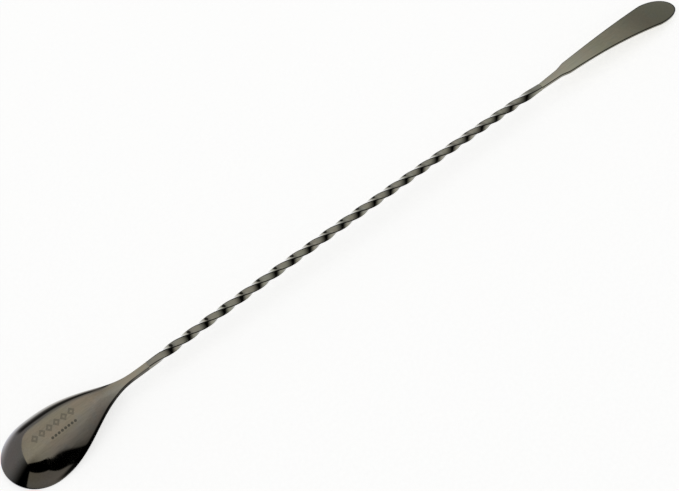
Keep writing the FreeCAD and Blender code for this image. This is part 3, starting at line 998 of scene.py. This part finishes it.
def bowl_room(nodes, direction):
    """Light seen by the bowl, from 0 for black.

    Under a sky of its own there are a dark slanting gap, a grey card below it on the near side, a
    grey wall beyond the tip, a dark line at the far horizon and the table under it.
    """
    x, y, z = nodes.split(direction)
    far = nodes.rise(y, -0.15, 0.15)

    # The sky dims towards the gap on the near side, and towards the horizon on the far side
    from_gap = nodes.along(direction, SKY_FROM_GAP)
    beside = nodes.math("DIVIDE", nodes.math("SUBTRACT", from_gap, 0.02), 0.9, clamped=True)
    overhead = nodes.math("MULTIPLY", nodes.math("POWER", z, 2.0), 0.6)
    overhead = nodes.math("MULTIPLY", overhead, nodes.math("SUBTRACT", 1.0, beside))
    near_sky = nodes.math("MULTIPLY_ADD", beside, 0.78, overhead)
    near_sky = nodes.math("MULTIPLY_ADD", nodes.rise(z, 0.75, 0.97), 0.16, near_sky)
    edge_fade = nodes.math("DIVIDE", nodes.math("SUBTRACT", from_gap, 0.025), 0.34, clamped=True)
    edge_fade = nodes.math("MAXIMUM", edge_fade, nodes.rise(z, 0.56, 0.68))
    near_sky = nodes.math("MULTIPLY", near_sky, edge_fade)
    near_sky = nodes.math("MULTIPLY", near_sky, nodes.blend(nodes.rise(z, -0.05, -0.65), 1.0, 0.4))
    far_sky = nodes.math("MULTIPLY_ADD", nodes.rise(z, -0.25, 0.90), 0.66, 0.34)
    low_band = nodes.math("MULTIPLY", nodes.rise(y, 0.70, 0.92), nodes.rise(z, 0.15, 0.35))
    far_sky = nodes.math("MULTIPLY_ADD", low_band, 0.22, far_sky)
    sky = nodes.blend(far, near_sky, far_sky)

    # Straight edges of cards and gaps are planes through the spoon
    over_tip = nodes.along(direction, TIP_EDGE)
    over_card = nodes.along(direction, CARD_EDGE)
    over_gap = nodes.math("SUBTRACT", nodes.along(direction, GAP_EDGE), 0.04)
    over_gap = nodes.math("MAXIMUM", over_gap, nodes.math("SUBTRACT", over_card, 0.25))
    over_edge = nodes.blend(nodes.rise(y, -0.04, 0.04), over_gap, over_tip)
    wall_light = nodes.math("MULTIPLY", nodes.rise(y, -0.10, 0.50), 0.46)
    wall_light = nodes.math("MULTIPLY", wall_light, nodes.blend(nodes.rise(x, 0.20, 0.45), 1.0, 0.25))
    room = nodes.blend(nodes.rise(over_edge, -0.02, 0.02), wall_light, sky)

    card = nodes.rise(over_card, 0.015, -0.015)
    card = nodes.math("MULTIPLY", card, nodes.rise(nodes.along(direction, CARD_END), -0.02, 0.02))
    card = nodes.math("MULTIPLY", card, nodes.rise(x, 0.16, 0.04))
    card = nodes.math("MULTIPLY", card, nodes.rise(z, 0.59, 0.56))
    room = nodes.blend(card, room, nodes.blend(nodes.rise(z, 0.6, -0.1), 0.33, 0.42))

    line = nodes.math("MULTIPLY", nodes.rise(z, 0.14, 0.0), nodes.rise(y, 0.90, 0.97))
    line = nodes.math("MULTIPLY", line, nodes.rise(x, -0.30, -0.15))
    room = nodes.math("MULTIPLY", room, nodes.blend(line, 1.0, 0.10))
    down = nodes.math("MULTIPLY_ADD", x, -0.15, nodes.math("MULTIPLY", z, -1.0))
    far_table = nodes.math("MULTIPLY", nodes.rise(down, 0.10, 0.55), nodes.rise(y, 0.0, 0.3))
    far_table = nodes.math("MULTIPLY", far_table, nodes.rise(x, 0.40, 0.05))
    near_table = nodes.math("MULTIPLY", nodes.rise(z, -0.66, -0.85), nodes.rise(x, -0.15, 0.0))
    near_table = nodes.math("MULTIPLY", near_table, nodes.rise(y, 0.3, 0.0))
    room = nodes.math("MULTIPLY_ADD", far_table, 0.60, room)
    return nodes.math("MULTIPLY_ADD", near_table, 0.15, room)


def long_tint(nodes, direction):
    """Nearly white, a little cooler towards the far side."""
    y = nodes.split(direction)[1]
    return nodes.colour(nodes.rise(y, -0.4, 0.8), LONG_NEAR_LIGHT, LONG_FAR_LIGHT)


def bowl_tint(nodes, direction):
    """Warm overhead on the near side, neutral on the far side and cool beyond the tip."""
    x, y, z = nodes.split(direction)
    from_tip = nodes.math("SUBTRACT", x, y)
    overhead = nodes.colour(nodes.rise(from_tip, 0.6, -0.4), NEUTRAL_LIGHT, WARM_LIGHT)
    overhead = nodes.colour(nodes.rise(z, 0.5, 0.1), overhead, NEUTRAL_LIGHT)
    beyond_tip = nodes.rise(nodes.along(direction, TIP_EDGE), 0.02, -0.02)
    beyond_tip = nodes.math("MULTIPLY", beyond_tip, nodes.rise(y, -0.3, 0.2))
    beyond_tip = nodes.math("MULTIPLY", beyond_tip, nodes.rise(x, 0.05, -0.20))
    return nodes.colour(beyond_tip, overhead, COOL_LIGHT)


def lit_dome(name, radius, room, tint, seen_by):
    """A far dome that only the pieces in seen_by reflect. It hides nothing.

    room gives the strength of its light and tint the colour, both by direction.
    """
    mesh = bpy.data.meshes.new(name)
    builder = bmesh.new()
    bmesh.ops.create_uvsphere(builder, u_segments=48, v_segments=24, radius=radius)
    builder.to_mesh(mesh)
    builder.free()
    dome = bpy.data.objects.new(name, mesh)
    bpy.context.scene.collection.objects.link(dome)
    material, nodes = new_material(name)
    material.cycles.emission_sampling = "NONE"
    place = nodes.add("ShaderNodeNewGeometry").outputs["Position"]
    unit = nodes.add("ShaderNodeVectorMath", operation="NORMALIZE")
    nodes.join(place, unit.inputs[0])
    light = nodes.add("ShaderNodeEmission")
    nodes.join(tint(nodes, unit.outputs[0]), light.inputs["Color"])
    nodes.join(room(nodes, unit.outputs[0]), light.inputs["Strength"])
    clear = nodes.add("ShaderNodeBsdfTransparent")
    both = nodes.add("ShaderNodeAddShader")
    nodes.tree.links.new(light.outputs[0], both.inputs[0])
    nodes.tree.links.new(clear.outputs[0], both.inputs[1])
    set_surface(nodes, both)
    mesh.materials.append(material)
    dome.visible_camera = False
    dome.visible_diffuse = False
    dome.visible_transmission = False
    dome.visible_volume_scatter = False
    dome.visible_shadow = False
    receivers = bpy.data.collections.new(name + " receivers")
    for piece in seen_by:
        receivers.objects.link(piece)
    dome.light_linking.receiver_collection = receivers


def studio_world():
    """Pale behind the floor, an even dim light on it, and black to the reflecting metal.

    The metal sees the domes instead.
    """
    world = bpy.data.worlds.new("studio")
    world.use_nodes = True
    bpy.context.scene.world = world
    nodes = Nodes(world.node_tree)
    path = nodes.add("ShaderNodeLightPath")
    plain = nodes.colour(path.outputs["Is Camera Ray"], FLOOR_LIGHT, BACKGROUND)
    seen = nodes.colour(path.outputs["Is Glossy Ray"], plain, NO_LIGHT)
    background = nodes.add("ShaderNodeBackground")
    nodes.join(seen, background.inputs["Color"])
    output = nodes.add("ShaderNodeOutputWorld")
    nodes.tree.links.new(background.outputs[0], output.inputs["Surface"])


def studio_floor():
    """A plain pale floor that gives off some light of its own, which keeps the shadows faint.

    The domes hold the table's reflections, so glossy rays pass the floor.
    """
    mesh = bpy.data.meshes.new("floor")
    half = FLOOR_HALF_SIZE
    corners = [(-half, -half, 0.0), (half, -half, 0.0), (half, half, 0.0), (-half, half, 0.0)]
    mesh.from_pydata(corners, [], [(0, 1, 2, 3)])
    floor = bpy.data.objects.new("floor", mesh)
    floor.location.z = -FLOOR_GAP
    bpy.context.scene.collection.objects.link(floor)

    material, nodes = new_material("pale floor")
    paper = nodes.colour(nodes.noise(object_mm(nodes), 0.8, 3.0), PAPER_DARK, PAPER_LIGHT)
    matte = nodes.add("ShaderNodeBsdfDiffuse")
    nodes.join(paper, matte.inputs["Color"])
    lit = nodes.add("ShaderNodeEmission")
    nodes.join(paper, lit.inputs["Color"])
    lit.inputs["Strength"].default_value = FLOOR_GLOW
    sheet = nodes.add("ShaderNodeAddShader")
    nodes.tree.links.new(matte.outputs[0], sheet.inputs[0])
    nodes.tree.links.new(lit.outputs[0], sheet.inputs[1])
    clear = nodes.add("ShaderNodeBsdfTransparent")
    path = nodes.add("ShaderNodeLightPath")
    choice = nodes.add("ShaderNodeMixShader")
    nodes.join(path.outputs["Is Glossy Ray"], choice.inputs[0])
    nodes.tree.links.new(sheet.outputs[0], choice.inputs[1])
    nodes.tree.links.new(clear.outputs[0], choice.inputs[2])
    set_surface(nodes, choice)
    mesh.materials.append(material)


def soft_lamp():
    """A large soft lamp over the table, for the floor's light and its faint contact shadow."""
    light = bpy.data.lights.new("soft lamp", "AREA")
    light.shape = "DISK"
    light.size = LAMP_SIZE
    light.energy = LAMP_POWER
    lamp = bpy.data.objects.new("soft lamp", light)
    lamp.location = LAMP_PLACE
    direction = Vector((0.0, 0.0, 0.0)) - lamp.location
    lamp.rotation_euler = direction.to_track_quat("-Z", "Y").to_euler()
    lamp.visible_glossy = False
    lamp.visible_camera = False
    bpy.context.scene.collection.objects.link(lamp)


def studio_camera():
    """Looks down at the spoon from beside the bowl."""
    azimuth = math.radians(CAMERA_AZIMUTH)
    elevation = math.radians(CAMERA_ELEVATION)
    roll = math.radians(CAMERA_ROLL)
    back = Vector((
        math.cos(elevation) * math.sin(azimuth),
        -math.cos(elevation) * math.cos(azimuth),
        math.sin(elevation),
    ))
    level_right = Vector((0.0, 0.0, 1.0)).cross(back).normalized()
    level_up = back.cross(level_right)
    right = level_right * math.cos(roll) + level_up * math.sin(roll)
    up = back.cross(right)
    lens = bpy.data.cameras.new("camera")
    lens.lens = CAMERA_LENS
    lens.clip_start = 0.01
    camera = bpy.data.objects.new("camera", lens)
    place = Vector(CAMERA_AIM) * MM + back * CAMERA_DISTANCE * MM
    turn = Matrix((right, up, back)).transposed().to_4x4()
    camera.matrix_world = Matrix.Translation(place) @ turn
    bpy.context.scene.collection.objects.link(camera)
    bpy.context.scene.camera = camera


# ---------------------------------------------------------------- the scene

bowl_neck = (BOWL_NECK_TINT, BOWL_NECK_TINT_X)
tail_neck = (TAIL_NECK_TINT, TAIL_NECK_TINT_X)
bowl = build_bowl(dark_steel("bowl steel", BROWN_FILM, bowl_neck, motif=True))
shaft = build_shaft(dark_steel("bar steel", GREEN_FILM))
tail = build_tail(dark_steel("tail steel", OLIVE_FILM, tail_neck))
filler = braze_metal()
bowl_filler = build_braze("bowl_braze_fill", BAR_START_X, 1, NECK_WIDTH, NECK_HEIGHT, filler)
tail_filler = build_braze(
    "tail_braze_fill", BAR_END_X, -1, 2.0 * TAIL_HALF_WIDTH, TAIL_NECK_THICKNESS, filler)
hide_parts("bowl")
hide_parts("shaft")
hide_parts("tail")
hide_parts("bowl_braze")
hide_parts("tail_braze")
lit_dome("bowl dome", BOWL_DOME_RADIUS, bowl_room, bowl_tint, [bowl])
lit_dome(
    "long dome", LONG_DOME_RADIUS, long_room, long_tint, [shaft, tail, bowl_filler, tail_filler])
studio_world()
studio_floor()
soft_lamp()
studio_camera()
bpy.context.scene.view_settings.view_transform = "Standard"
